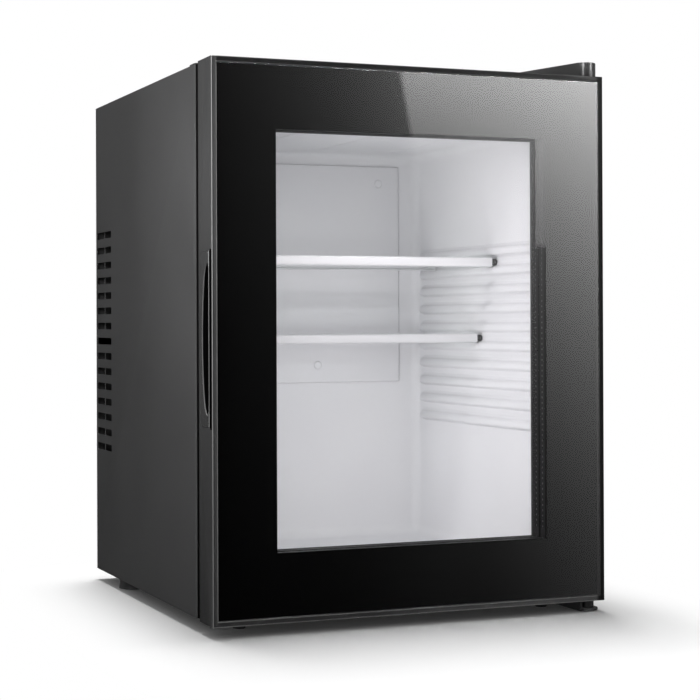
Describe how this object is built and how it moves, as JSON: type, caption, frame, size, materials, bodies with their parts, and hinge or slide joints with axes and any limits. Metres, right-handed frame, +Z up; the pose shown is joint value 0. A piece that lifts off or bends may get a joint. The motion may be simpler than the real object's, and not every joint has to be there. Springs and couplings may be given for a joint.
{
  "type": "glass door minibar fridge",
  "caption": "Small free-standing fridge with a hinged glass door, an edge handle recess, sliding glass shelves on moulded ridges and a thermoelectric cooling unit with a fan at the back.",
  "frame": {"origin": "on the floor under the middle of the body's width and of the whole depth, door included", "axes": "+Z up, -Y out of the door's front, +X to the hinge side"},
  "size_m": [0.4, 0.417, 0.5353],
  "materials": {
    "painted_steel": "satin dark grey paint",
    "black_plastic": "semi-gloss black",
    "white_plastic": "smooth white",
    "bare_metal": "zinc plated",
    "aluminium": "mill finish",
    "clear_glass": "polished, clear",
    "black_print": "black print behind glass",
    "gasket_rubber": "matt",
    "foot_rubber": "matt",
    "foam": "rigid foam",
    "ceramic": "matt",
    "lens_plastic": "frosted"
  },
  "bodies": {
    "cabinet": {"side_panel_left": "painted_steel", "side_panel_right": "painted_steel", "top_panel": "painted_steel", "top_front_rail": "black_plastic", "base_pan": "painted_steel", "rear_cover": "painted_steel", "insulation_foam": "foam", "inner_liner": "white_plastic", "cold_sink_cover": "white_plastic", "screw_cap_upper_left": "white_plastic", "screw_cap_upper_right": "white_plastic", "screw_cap_lower_left": "white_plastic", "screw_cap_lower_right": "white_plastic", "lamp_lens": "lens_plastic", "cold_sink": "aluminium", "thermoelectric_module": "ceramic", "heat_sink": "aluminium", "fan_frame": "black_plastic", "power_board_box": "black_plastic", "mains_inlet": "black_plastic", "front_foot_left": "foot_rubber", "front_foot_right": "foot_rubber", "rear_foot_left": "foot_rubber", "rear_foot_right": "foot_rubber", "upper_hinge_bracket": "bare_metal", "upper_hinge_pin": "bare_metal", "upper_hinge_screw_1": "bare_metal", "upper_hinge_screw_2": "bare_metal", "upper_hinge_cover": "black_plastic", "lower_hinge_bracket": "painted_steel", "lower_hinge_pin": "bare_metal", "lower_hinge_screw_1": "bare_metal", "lower_hinge_screw_2": "bare_metal"},
    "door": {"door_stile_left": "black_plastic", "door_stile_right": "black_plastic", "door_rail_top": "black_plastic", "door_rail_bottom": "black_plastic", "handle_insert": "black_plastic", "front_glass": "clear_glass", "glass_border_print": "black_print", "spacer_frame_front": "aluminium", "middle_glass": "clear_glass", "spacer_frame_rear": "aluminium", "inner_glass": "clear_glass", "glazing_bead": "gasket_rubber", "door_gasket": "gasket_rubber", "upper_hinge_bush": "white_plastic", "lower_hinge_bush": "white_plastic"},
    "upper_shelf": {"upper_shelf_glass": "clear_glass", "upper_shelf_front_trim": "white_plastic", "upper_shelf_rear_trim": "white_plastic"},
    "lower_shelf": {"lower_shelf_glass": "clear_glass", "lower_shelf_front_trim": "white_plastic", "lower_shelf_rear_trim": "white_plastic"},
    "fan": {"fan_rotor": "black_plastic"}
  },
  "joints": [
    {"name": "door_hinge", "type": "hinge", "parent": "cabinet", "child": "door", "pos_m": [0.188, -0.19545, 0.011], "axis": [0, 0, 1], "range_deg": [0, 115]},
    {"name": "upper_shelf_slide", "type": "slide", "parent": "cabinet", "child": "upper_shelf", "axis": [0, -1, 0], "range_m": [-0.049, 0.078]},
    {"name": "lower_shelf_slide", "type": "slide", "parent": "cabinet", "child": "lower_shelf", "axis": [0, -1, 0], "range_m": [-0.014, 0.112]},
    {"name": "fan_spin", "type": "hinge", "parent": "cabinet", "child": "fan", "pos_m": [0, 0.19, 0.301], "axis": [0, 1, 0], "continuous": true}
  ]
}
